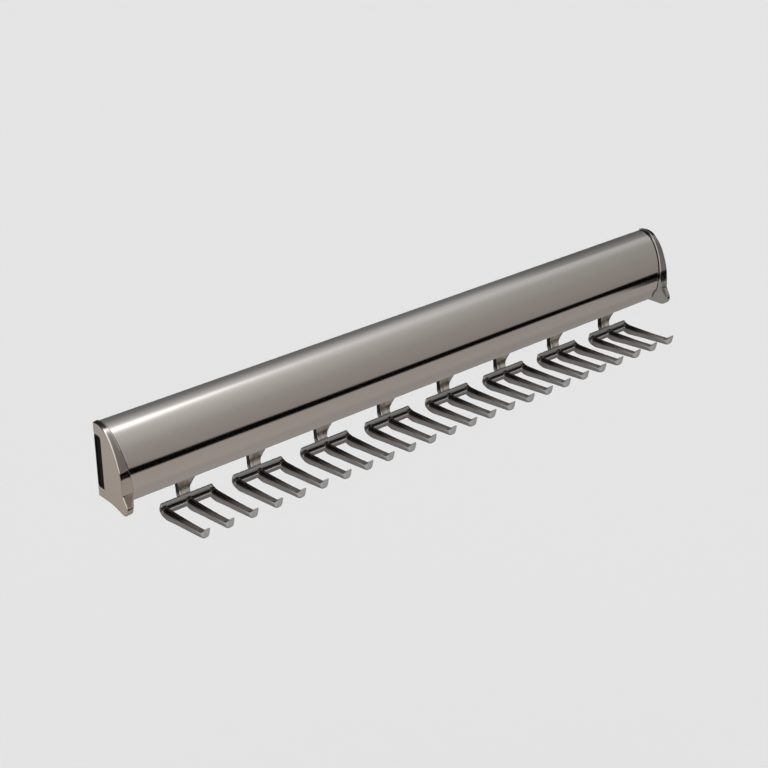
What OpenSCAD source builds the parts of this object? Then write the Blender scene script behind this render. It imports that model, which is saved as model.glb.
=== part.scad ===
// Pull-out tie rack for the side wall of a wardrobe.
// X runs along the rail (the front of the wardrobe is at -X), the wall is the
// plane Y = 0 with the rack on its -Y side, and Z is up. The origin is the
// middle wall-screw hole, on the wall plane.

/* [Rack] */
// Overall length over both end caps
rack_len = 360; // [340:1:380]
// Gap between the wall and the rear edge of the sliding housing
wall_gap = 0.6; // [0.4:0.1:1]
// Thickness of an end cap at its top edge
cap_top = 2.7; // [2.2:0.1:3.5]
// How much thicker an end cap gets per millimetre downwards
cap_lean = 0.117; // [0.08:0.001:0.14]
// How much thicker the rear end cap is than the front one
rear_cap_extra = 0.7; // [0:0.1:1]
// Open seam between the housing and each end cap
seam_gap = 0.4; // [0.2:0.1:0.6]

/* [Housing] */
// Wall thickness of the housing skin
skin = 1.3; // [1:0.1:1.6]
// Height of the slide channel
channel_h = 26.4; // [26:0.1:27]
// Depth of the slide channel from the wall plane
channel_d = 8.8; // [8.8:0.1:9.2]

/* [Hooks] */
// Spacing of the hook units along the rail
hook_pitch = 40.4; // [39:0.1:41]
// Offset of the hook row towards the rear end
hook_shift = 0; // [-1:0.1:1]
// Width of one hook unit
hook_w = 29.7; // [28:0.1:31]
// Width of one prong
prong_w = 3.1; // [2.4:0.1:3.4]
// Width of the stem at its waist
stem_waist = 6; // [5:0.1:7]

/* [Slide] */
// Thickness of the wall rail's web
web_t = 1.5; // [1.2:0.1:1.6]
// Radius of a wall-screw hole
wall_hole_r = 2.1; // [1.8:0.1:2.3]
// Spacing of the wall-screw holes
wall_hole_sp = 128; // [96:32:128]
// Radius of the outer bearing balls
ball_o = 1.15; // [1.1:0.01:1.18]
// Radius of the inner bearing balls
ball_i = 1; // [0.95:0.01:1.03]

/* [Hidden] */

half = rack_len / 2;
// slide members: front end, rear ends
rail_x0 = -half + 18;
wall_rail_x1 = half - 6;
mid_rail_x1 = half - 16;
inner_rail_x1 = half - 22;
// ball rows: height of the ball centres and their depth
oz = 10.45;  oy = -5.2;
iz = 7.35;   iy = -5.9;
groove_o = ball_o + 0.15;
groove_i = ball_i + 0.15;
cage_x0 = -82;
outer_cage_len = 162;
inner_cage_len = 156;
ball_sp = 13;
// end cap screws
cap_screw_x = half - 11;
cap_screw_z = [3.8, -3.8];
inner_screw_x = [-140, 0, 140];

// ---- curves ----
// point on the smooth curve through b and c, at t of the way
function cr(a, b, c, d, t) = 0.5 * ((2 * b) + (c - a) * t
    + (2 * a - 5 * b + 4 * c - d) * t * t + (3 * b - a - 3 * c + d) * t * t * t);
// smooth curve through every point of p, n steps between neighbours
function smooth(p, n) = let (m = len(p)) concat(
    [for (i = [0 : m - 2], k = [0 : n - 1])
        cr(p[max(i - 1, 0)], p[i], p[i + 1], p[min(i + 2, m - 1)], k / n)],
    [p[m - 1]]);
// the same curve moved to its right-hand side by d
function inset(p, d) = let (m = len(p)) [for (i = [0 : m - 1])
    let (t = p[min(i + 1, m - 1)] - p[max(i - 1, 0)], l = norm(t))
    p[i] + d / l * [t[1], -t[0]]];

// outside of the housing, from the rear top edge over the front to the rear bottom edge
housing_ctrl = [[-wall_gap, 18.3], [-3.4, 18.6], [-6, 18.2], [-8.4, 17.1], [-10.9, 15.1],
                [-13.05, 12.65], [-14.95, 9.7], [-16.45, 6.6], [-17.65, 3.4], [-18.55, 0],
                [-19.05, -3.7], [-19.15, -7.8], [-18.75, -11.4], [-17.85, -14.4],
                [-16.3, -16.6], [-13.9, -17.9], [-11, -18.4], [-wall_gap, -18.4]];
housing_out = smooth(housing_ctrl, 4);
housing_in = inset(housing_out, -skin);

// outside of an end cap: it stands a little proud of the housing at the front
// and flares into a finger lip below it
cap_ctrl = [[-wall_gap, 18.8], [-3.4, 19.2], [-6.15, 18.9], [-8.7, 17.9], [-11.2, 15.85],
            [-13.45, 13.2], [-15.35, 10.15], [-16.95, 6.85], [-18.25, 3.5], [-19.25, 0],
            [-19.95, -3.5], [-20.45, -7.05], [-21.05, -9.6], [-21.85, -11.75], [-22.8, -13.9],
            [-23.5, -15.85], [-23.6, -17.45], [-23, -18.95], [-21.7, -20],
            [-19.9, -20.35], [-16.6, -19.55], [-12.6, -18.7], [-8.5, -18.25], [-wall_gap, -18.15]];
cap_out = smooth(cap_ctrl, 4);

// the lip narrows towards its tip: its inner face is the plane through these
// three points, seen from the front end
lip_a = [6, -19.6, -8];
lip_b = [7, -12.6, -18.35];
lip_c = [2.4, -23.5, -17.2];
lip_n = cross(lip_b - lip_a, lip_c - lip_a) / -norm(cross(lip_b - lip_a, lip_c - lip_a));

// ---- helpers ----
// draw the children in the Y-Z plane and run them along X
module along_x(x0, x1) translate([x0, 0, 0]) rotate([90, 0, 90]) linear_extrude(x1 - x0) children();
// draw the children in the X-Z plane and run them along Y
module along_y(y0, y1) translate([0, y1, 0]) rotate([90, 0, 0]) linear_extrude(y1 - y0) children();
// distance of the leaning seam from the outer face of a cap, at height z
function rim(z) = cap_top + cap_lean * (18 - z);
// round bar along -Y from y0 to y1
module bar_y(x, z, y0, y1, r) translate([x, y0, z]) rotate([90, 0, 0]) cylinder(r = r, h = y0 - y1, $fn = 48);

// ---- housing ----
module housing_section() {
    difference() {
        polygon(housing_out);
        // channel for the slide, open to the wall
        translate([-channel_d, -channel_h / 2]) square([channel_d + 2, channel_h]);
        // hollow between the skin and the channel
        difference() {
            intersection() {
                polygon(housing_in);
                translate([-30, -30]) square([30 - wall_gap - 1.2, 60]);
            }
            translate([-channel_d - 1.2, -15]) square([12, 29.4]);
            translate([-14.8, -18.4]) square([16, 4.4]);
        }
        // T-slot for the feet of the hooks
        translate([-13.6, -17]) square([7.6, 2]);
        translate([-11.4, -20]) square([3.2, 4]);
    }
}

module housing_profile() {
    color([0.55, 0.52, 0.49]) difference() {
        intersection() {
            along_x(-half + 1, half - 1) housing_section();
            along_y(-30, 5) polygon([[-half + rim(30) + seam_gap, 30],
                                     [half - rim(30) - rear_cap_extra - seam_gap, 30],
                                     [half - rim(-30) - rear_cap_extra - seam_gap, -30],
                                     [-half + rim(-30) + seam_gap, -30]]);
        }
        for (x = inner_screw_x) bar_y(x, 0, -8, -11, 1.5);
        for (s = [-1, 1], z = cap_screw_z) bar_y(s * cap_screw_x, z, -8, -11, 1.5);
    }
}

// ---- end caps ----
// front cap, thicker by extra; the slot is slot_d deep from the wall plane
module end_cap(slot_d, extra) {
    difference() {
        union() {
            difference() {
                intersection() {
                    along_x(-half, -half + 12) polygon(cap_out);
                    along_y(-40, 5) polygon([[-half, 40], [-half + rim(40) + extra, 40],
                                             [-half + rim(-40) + extra, -40], [-half, -40]]);
                }
                translate([-half, 0, 0]) translate(lip_a)
                    rotate([0, -asin(lip_n[2]), atan2(lip_n[1], lip_n[0])])
                        translate([0, -60, -60]) cube([60, 120, 120]);
            }
            // spigot that enters the hollow of the housing
            translate([-half + 2, -14, -9.5]) cube([14, 14 - channel_d - 1.35, 16.5]);
        }
        translate([-half - 1, -slot_d, -13]) cube([20, slot_d + 2, 26.1]);
        for (z = cap_screw_z) bar_y(-cap_screw_x, z, -9, -13.5, 1.3);
    }
}

module front_end_cap() {
    color([0.62, 0.58, 0.53]) end_cap(5.7, 0);
}

module rear_end_cap() {
    color([0.62, 0.58, 0.53]) mirror([1, 0, 0]) end_cap(9.3, rear_cap_extra);
}

// plug that closes the slot of the front cap
module front_slot_plug() {
    color([0.04, 0.04, 0.04]) union() {
        translate([-half + 0.4, -5.6, -12.85]) cube([8, 5.6 - wall_gap, 25.8]);
        translate([-half + 7, -8.6, -12.9]) cube([1.4, 8.6 - wall_gap, 25.8]);
    }
}

// ---- hooks ----
// side outline of a prong: heel at the crossbar, tip turned up
prong_top = smooth([[-11, -27.3], [-12.3, -27.65], [-14.1, -28.05], [-17.5, -28.3], [-25.5, -28.35],
                    [-34.8, -28.05], [-41.2, -27.75], [-43.1, -27.4], [-44, -26.6], [-44.9, -25.2]], 3);
prong_bottom = smooth([[-45.9, -25.2], [-46.5, -26.8], [-46.4, -28.4], [-45.3, -29.65],
                       [-43.6, -30.2], [-39.8, -30.65], [-29.8, -31.75], [-20.5, -32.9], [-16.5, -33.15],
                       [-13.9, -32.85], [-12.2, -31.8], [-11, -30.3], [-10.2, -29.1], [-9.9, -28.2], [-10.3, -27.6]], 3);
crossbar = concat([for (a = [15 : 30 : 165]) [-11.2 + 1.4 * cos(a), -28.7 + 1.4 * sin(a)]],
                  [[-12.7, -29.6], [-13, -30.8], [-13.9, -31.3], [-14.2, -31.9], [-13.8, -32.3],
                   [-12.8, -32.1], [-11.6, -31.1], [-10.3, -29.4]]);
// half width of the stem at height z
function stem_half(z) = let (u = (-18 - z) / 10)
    stem_waist / 2 + 2.6 * pow(max(0.65 - u, 0) / 0.65, 2) + 0.5 * pow(max(u - 0.65, 0) / 0.35, 2);
// depth of the stem's front face at height z
function stem_y(z) = let (u = (-18 - z) / 10) -11.7 + 2.3 * sin(min(u * 150, 90)) - 0.9 * pow(max(u - 0.6, 0) / 0.4, 2);
stem_t = 2.1;

module tie_hook(x) {
    zs = [for (i = [0 : 8]) -18.5 - 9.5 * i / 8];
    color([0.34, 0.33, 0.32]) translate([x, 0, 0]) union() {
        for (i = [-1, 0, 1]) {
            c = i * (hook_w / 2 - prong_w / 2);
            along_x(c - prong_w / 2, c + prong_w / 2) polygon(concat(prong_top, prong_bottom));
        }
        along_x(-hook_w / 2 + 0.2, hook_w / 2 - 0.2) polygon(crossbar);
        // waisted stem, hollow towards the front
        intersection() {
            along_x(-6, 6) polygon(concat([for (z = zs) [stem_y(z), z]],
                                          [for (i = [8 : -1 : 0]) [stem_y(zs[i]) + stem_t, zs[i]]]));
            along_y(-16, -4) polygon(concat([for (z = zs) [-stem_half(z), z]],
                                            [for (i = [8 : -1 : 0]) [stem_half(zs[i]), zs[i]]]));
        }
        // foot held in the T-slot
        translate([-4.9, -11.1, -18.8]) cube([9.8, 2.6, 2.1]);
        translate([-4.9, -13.5, -16.9]) cube([9.8, 7.4, 1.8]);
    }
}
function hook_x(k) = (k - 4.5) * hook_pitch + hook_shift;

module tie_hook_1() { tie_hook(hook_x(1)); }
module tie_hook_2() { tie_hook(hook_x(2)); }
module tie_hook_3() { tie_hook(hook_x(3)); }
module tie_hook_4() { tie_hook(hook_x(4)); }
module tie_hook_5() { tie_hook(hook_x(5)); }
module tie_hook_6() { tie_hook(hook_x(6)); }
module tie_hook_7() { tie_hook(hook_x(7)); }
module tie_hook_8() { tie_hook(hook_x(8)); }

// ---- slide ----
// rail screwed to the wall
module cabinet_rail() {
    color([0.72, 0.73, 0.74]) difference() {
        along_x(rail_x0, wall_rail_x1) difference() {
            union() {
                translate([-web_t, -12.5]) square([web_t, 25]);
                for (s = [-1, 1]) translate([-7.2, s * 12 - 0.5]) square([7.2, 1]);
            }
            for (s = [-1, 1]) translate([oy, s * oz]) circle(r = groove_o, $fn = 48);
        }
        for (x = [-wall_hole_sp, 0, wall_hole_sp]) {
            bar_y(x, 0, 1, -4, wall_hole_r);
            // shallow countersink for the screw head
            translate([x, -web_t - 0.01, 0]) rotate([-90, 0, 0])
                cylinder(r1 = wall_hole_r + 0.7, r2 = wall_hole_r, h = 0.71, $fn = 48);
        }
    }
}

// stop at the rear end of the wall rail
module rear_bumper() {
    color([0.07, 0.07, 0.07]) union() {
        translate([mid_rail_x1 + 0.6, -7, -8.6]) cube([8.2, 5.5, 17.2]);
        translate([mid_rail_x1 + 3.6, -6.6, -11.4]) cube([5.2, 5.1, 22.8]);
    }
}

module intermediate_rail() {
    color([0.72, 0.73, 0.74]) difference() {
        along_x(rail_x0, mid_rail_x1) difference() {
            union() {
                translate([-3.3, -9.5]) square([0.9, 19]);
                for (s = [-1, 1]) translate([-7.6, s * 8.8 - 0.7]) square([5.2, 1.4]);
            }
            for (s = [-1, 1]) {
                translate([oy, s * oz]) circle(r = groove_o, $fn = 48);
                translate([iy, s * iz]) circle(r = groove_i, $fn = 48);
            }
        }
        // holes that let the screwdriver through
        for (x = [-wall_hole_sp, 0, wall_hole_sp]) bar_y(x, 0, -2, -4, 4.2);
    }
}

// stop at the rear end of the intermediate rail
module intermediate_bumper() {
    color([0.07, 0.07, 0.07])
        translate([inner_rail_x1 + 0.6, -7, -6.9]) cube([mid_rail_x1 - inner_rail_x1 - 0.6, 3.7, 13.8]);
}

// rail screwed to the inside of the housing
module inner_rail() {
    color([0.72, 0.73, 0.74]) difference() {
        along_x(rail_x0, inner_rail_x1) difference() {
            union() {
                translate([-channel_d, -6.6]) square([1, 13.2]);
                for (s = [-1, 1]) translate([-channel_d, s * 6 - 0.6]) square([4.55, 1.2]);
            }
            for (s = [-1, 1]) translate([iy, s * iz]) circle(r = groove_i, $fn = 48);
        }
        for (x = inner_screw_x) bar_y(x, 0, -7, -10, 1.6);
    }
}

// ball cage: a thin channel between two rails, with a hole for each ball
module ball_cage(len, web_y, arm_y, z, n, r) {
    color([0.78, 0.77, 0.74]) difference() {
        along_x(cage_x0, cage_x0 + len) union() {
            translate([web_y - 0.4, -z - 0.2]) square([0.4, 2 * z + 0.4]);
            for (s = [-1, 1]) translate([arm_y, s * z - 0.2]) square([web_y - arm_y, 0.4]);
        }
        for (i = [0 : n - 1], s = [-1, 1])
            translate([cage_x0 + 7 + i * ball_sp, r[0], s * z]) cylinder(r = r[1], h = 2, center = true, $fn = 48);
        bar_y(0, 0, web_y + 1, web_y - 1, 4.2);
    }
}

module balls(n, y, z, r, tint) {
    color(tint) for (i = [0 : n - 1], s = [-1, 1])
        translate([cage_x0 + 7 + i * ball_sp, y, s * z]) sphere(r = r, $fn = 32);
}

module outer_ball_cage() { ball_cage(outer_cage_len, -1.75, -7, oz, 12, [oy, ball_o + 0.1]); }
module outer_balls() { balls(12, oy, oz, ball_o, [0.85, 0.85, 0.86]); }
module inner_ball_cage() { ball_cage(inner_cage_len, -3.55, -7.4, iz, 11, [iy, ball_i + 0.1]); }
module inner_balls() { balls(11, iy, iz, ball_i, [0.85, 0.85, 0.86]); }

// ---- screws ----
// pan-head screw along -Y, head against the plane y0, with a cross recess
module pan_screw(x, z, y0, len, r) {
    translate([x, y0, z]) rotate([90, 0, 0]) difference() {
        union() {
            translate([0, 0, -1.3]) cylinder(r = 2.5, h = 1.3, $fn = 48);
            cylinder(r = r, h = len, $fn = 48);
        }
        for (a = [0, 90]) rotate([0, 0, a]) translate([-1.5, -0.3, -2]) cube([3, 0.6, 1.5]);
    }
}

module inner_rail_screws() {
    color([0.6, 0.6, 0.6]) for (x = inner_screw_x) pan_screw(x, 0, -channel_d + 1, 4.5, 1.4);
}

module front_cap_screws() {
    color([0.6, 0.6, 0.6]) for (z = cap_screw_z) pan_screw(-cap_screw_x, z, -channel_d, 4.2, 1.2);
}

module rear_cap_screws() {
    color([0.6, 0.6, 0.6]) for (z = cap_screw_z) pan_screw(cap_screw_x, z, -channel_d, 4.2, 1.2);
}

housing_profile();
front_end_cap();
rear_end_cap();
front_slot_plug();
tie_hook_1();
tie_hook_2();
tie_hook_3();
tie_hook_4();
tie_hook_5();
tie_hook_6();
tie_hook_7();
tie_hook_8();
cabinet_rail();
rear_bumper();
intermediate_rail();
intermediate_bumper();
inner_rail();
outer_ball_cage();
outer_balls();
inner_ball_cage();
inner_balls();
inner_rail_screws();
front_cap_screws();
rear_cap_screws();
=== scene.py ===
import math

import bmesh
import bpy
import numpy as np
from mathutils import Matrix, Vector


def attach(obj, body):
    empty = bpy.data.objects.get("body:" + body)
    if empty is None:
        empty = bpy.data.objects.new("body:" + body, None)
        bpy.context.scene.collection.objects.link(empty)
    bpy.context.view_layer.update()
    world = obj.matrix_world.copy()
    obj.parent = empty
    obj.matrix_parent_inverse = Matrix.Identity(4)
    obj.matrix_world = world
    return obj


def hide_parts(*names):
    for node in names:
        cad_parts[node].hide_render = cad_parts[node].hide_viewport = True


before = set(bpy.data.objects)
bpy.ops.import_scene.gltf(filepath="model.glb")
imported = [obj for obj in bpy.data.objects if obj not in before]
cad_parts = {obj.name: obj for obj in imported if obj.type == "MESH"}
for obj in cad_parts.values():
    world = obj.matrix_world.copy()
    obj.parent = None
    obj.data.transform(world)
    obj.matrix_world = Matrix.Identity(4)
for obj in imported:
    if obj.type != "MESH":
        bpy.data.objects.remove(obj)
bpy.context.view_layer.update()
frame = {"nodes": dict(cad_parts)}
scene = bpy.context.scene
MM = 0.001
HALF = 180.0
CAP_TOP, CAP_LEAN, REAR_EXTRA, SEAM_GAP = 2.7, 0.117, 0.7, 0.4
PITCH = 40.4
PRONG_W, HOOK_W = 3.1, 29.7


# ------------------------------------------------------------------ curves
def smooth_path(points, count, stiff=0.02):
    """A fair curve of count points close to the given ones (penalised least squares, ends held)."""
    p = np.array(points, float)
    u = np.r_[0, np.cumsum(np.linalg.norm(np.diff(p, axis=0), axis=1))]
    u /= u[-1]
    m = count
    a = np.zeros((len(p), m))
    for i, t in enumerate(u):
        s = t * (m - 1)
        k = min(int(s), m - 2)
        a[i, k], a[i, k + 1] = 1 - (s - k), s - k
    w = np.ones(len(p))
    w[0] = w[-1] = 30
    d = np.zeros((m - 3, m))
    for i in range(m - 3):
        d[i, i:i + 4] = (-1, 3, -3, 1)
    h = 1.0 / (m - 1)
    lam = stiff * (1.0 / len(p)) ** 5 / h ** 5
    left = a.T @ (a * w[:, None]) + lam * d.T @ d
    return np.linalg.solve(left, a.T @ (p * w[:, None]))


def catmull(points, n):
    p = np.array(points, float)
    m = len(p)
    out = []
    for i in range(m - 1):
        a, b, c, d = p[max(i - 1, 0)], p[i], p[i + 1], p[min(i + 2, m - 1)]
        for k in range(n):
            t = k / n
            out.append(0.5 * (2 * b + (c - a) * t + (2 * a - 5 * b + 4 * c - d) * t * t + (3 * b - a - 3 * c + d) * t ** 3))
    out.append(p[-1])
    return np.array(out)


def rounded(poly, radii, n=4):
    """A closed polygon with its corners rounded."""
    p = [np.array(q, float) for q in poly]
    out = []
    for i, c in enumerate(p):
        r = radii[i] if hasattr(radii, "__len__") else radii
        if r <= 0:
            out.append(c)
            continue
        a, b = p[i - 1] - c, p[(i + 1) % len(p)] - c
        la, lb = np.linalg.norm(a), np.linalg.norm(b)
        a, b = a / la, b / lb
        half = math.acos(max(-1, min(1, a @ b))) / 2
        cut = min(r / math.tan(half), la * 0.48, lb * 0.48)
        r = cut * math.tan(half)
        mid = (a + b) / np.linalg.norm(a + b)
        centre = c + mid * (r / math.sin(half))
        s, e = c + a * cut - centre, c + b * cut - centre
        a0, a1 = math.atan2(s[1], s[0]), math.atan2(e[1], e[0])
        da = (a1 - a0 + math.pi) % (2 * math.pi) - math.pi
        for k in range(n + 1):
            t = a0 + da * k / n
            out.append(centre + r * np.array([math.cos(t), math.sin(t)]))
    return np.array(out)


def outward(poly):
    """Unit outward normals at the points of a closed polygon, scaled so that an inset keeps its edges parallel."""
    p = np.array(poly, float)
    area = 0.5 * np.sum(p[:, 0] * np.roll(p[:, 1], -1) - np.roll(p[:, 0], -1) * p[:, 1])
    e0 = p - np.roll(p, 1, axis=0)
    e1 = np.roll(p, -1, axis=0) - p
    def nrm(e):
        e = e / np.maximum(np.linalg.norm(e, axis=1), 1e-9)[:, None]
        return np.c_[e[:, 1], -e[:, 0]]
    n = nrm(e0) + nrm(e1)
    n /= np.maximum(np.linalg.norm(n, axis=1), 1e-9)[:, None]
    c = np.clip(np.sum(n * nrm(e0), axis=1), 0.5, 1)
    n /= c[:, None]
    return n if area > 0 else -n


# ------------------------------------------------------------------ meshes
def make_object(name, verts, faces, mm=True):
    me = bpy.data.meshes.new(name)
    v = np.array(verts, float) * (MM if mm else 1)
    me.from_pydata([tuple(q) for q in v], [], [tuple(f) for f in faces])
    me.validate()
    me.update()
    ob = bpy.data.objects.new(name, me)
    scene.collection.objects.link(ob)
    return ob


def tidy(ob, angle=32, merge=0.002):
    bm = bmesh.new()
    bm.from_mesh(ob.data)
    bmesh.ops.remove_doubles(bm, verts=bm.verts, dist=merge * MM)
    bmesh.ops.dissolve_degenerate(bm, edges=bm.edges, dist=merge * MM * 0.5)
    bmesh.ops.recalc_face_normals(bm, faces=bm.faces)
    if bm.calc_volume(signed=True) < 0:
        bmesh.ops.reverse_faces(bm, faces=bm.faces)
    bm.to_mesh(ob.data)
    bm.free()
    ob.data.shade_smooth()
    ob.data.set_sharp_from_angle(angle=math.radians(angle))
    return ob


def loft(rings, start=True, end=True, closed=True):
    """Vertices and quads through rings of equal length."""
    n = len(rings[0])
    verts = [tuple(p) for r in rings for p in r]
    faces = []
    for i in range(len(rings) - 1):
        for j in range(n if closed else n - 1):
            k = (j + 1) % n
            faces.append((i * n + j, i * n + k, (i + 1) * n + k, (i + 1) * n + j))
    if start:
        faces.append(tuple(range(n))[::-1])
    if end:
        faces.append(tuple((len(rings) - 1) * n + j for j in range(n)))
    return verts, faces


def volume(me):
    bm = bmesh.new()
    bm.from_mesh(me)
    v = bm.calc_volume(signed=False)
    bm.free()
    return v


def boolean(ob, other, op):
    """One boolean step; where the quick solve loses volume, it is solved again with care for touching faces."""
    before, own = volume(ob.data), volume(other.data)
    for careful in (False, True):
        m = ob.modifiers.new("b", "BOOLEAN")
        m.operation, m.object, m.solver, m.use_self = op, other, "EXACT", careful
        bpy.context.view_layer.update()
        dg = bpy.context.evaluated_depsgraph_get()
        me = bpy.data.meshes.new_from_object(ob.evaluated_get(dg))
        ob.modifiers.clear()
        after = volume(me)
        least = max(before, own) * 0.999 if op == "UNION" else max(before * 0.02, before - own) * 0.98
        if after >= least:
            break
    old = ob.data
    ob.data = me
    bpy.data.meshes.remove(old)
    bpy.data.objects.remove(other)
    return ob


def rounded_box(name, lo, hi, r, seg=3):
    lo, hi = np.array(lo, float), np.array(hi, float)
    bm = bmesh.new()
    bmesh.ops.create_cube(bm, size=1)
    for v in bm.verts:
        v.co = Vector(((lo + hi) / 2 + np.array(v.co) * (hi - lo)) * MM)
    if r > 0:
        bmesh.ops.bevel(bm, geom=list(bm.edges), offset=r * MM, segments=seg, profile=0.5, affect="EDGES")
    me = bpy.data.meshes.new(name)
    bm.to_mesh(me)
    bm.free()
    ob = bpy.data.objects.new(name, me)
    scene.collection.objects.link(ob)
    return ob


def prism_x(name, loop, x0, x1):
    rings = [[(x, y, z) for y, z in loop] for x in (x0, x1)]
    return tidy(make_object(name, *loft(rings)))


def rod_y(name, x, z, y0, y1, r, n=32):
    a = [2 * math.pi * k / n for k in range(n)]
    rings = [[(x + r * math.cos(t), y, z + r * math.sin(t)) for t in a] for y in (y0, y1)]
    return tidy(make_object(name, *loft(rings)))


def weighted(ob):
    m = ob.modifiers.new("even_normals", "WEIGHTED_NORMAL")
    m.keep_sharp, m.weight = True, 80
    return ob


# ------------------------------------------------------------------ node helper
class Net:
    def __init__(self, tree):
        self.t = tree
        self.n = 0

    def add(self, kind, **kw):
        nd = self.t.nodes.new(kind)
        nd.location = (-200 - 180 * (self.n % 8), 300 - 160 * (self.n // 8))
        self.n += 1
        for k, v in kw.items():
            setattr(nd, k, v)
        return nd

    def put(self, sock, val):
        if isinstance(val, bpy.types.NodeSocket):
            self.t.links.new(val, sock)
        else:
            sock.default_value = val

    def math(self, op, a, b=None, c=None, clamp=False):
        nd = self.add("ShaderNodeMath", operation=op, use_clamp=clamp)
        self.put(nd.inputs[0], a)
        if b is not None:
            self.put(nd.inputs[1], b)
        if c is not None:
            self.put(nd.inputs[2], c)
        return nd.outputs[0]

    def step(self, x, a, b, lo=0.0, hi=1.0, kind="SMOOTHSTEP"):
        nd = self.add("ShaderNodeMapRange", interpolation_type=kind)
        for s, v in zip(("Value", "From Min", "From Max", "To Min", "To Max"), (x, a, b, lo, hi)):
            self.put(nd.inputs[s], v)
        return nd.outputs["Result"]

    def curve(self, x, pts):
        """A piecewise linear function of x through pts."""
        x0, x1 = pts[0][0], pts[-1][0]
        top = max(abs(y) for _, y in pts)
        t = self.step(x, x0, x1, kind="LINEAR")
        nd = self.add("ShaderNodeFloatCurve")
        c = nd.mapping.curves[0]
        nd.mapping.use_clip = False
        while len(c.points) > 2:
            c.points.remove(c.points[1])
        c.points[0].location = (0, pts[0][1] / top)
        c.points[-1].location = (1, pts[-1][1] / top)
        for px, py in pts[1:-1]:
            c.points.new((px - x0) / (x1 - x0), py / top)
        for q in c.points:
            q.handle_type = "AUTO_CLAMPED"
        nd.mapping.update()
        self.put(nd.inputs["Value"], t)
        return self.math("MULTIPLY", nd.outputs[0], top)


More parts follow.
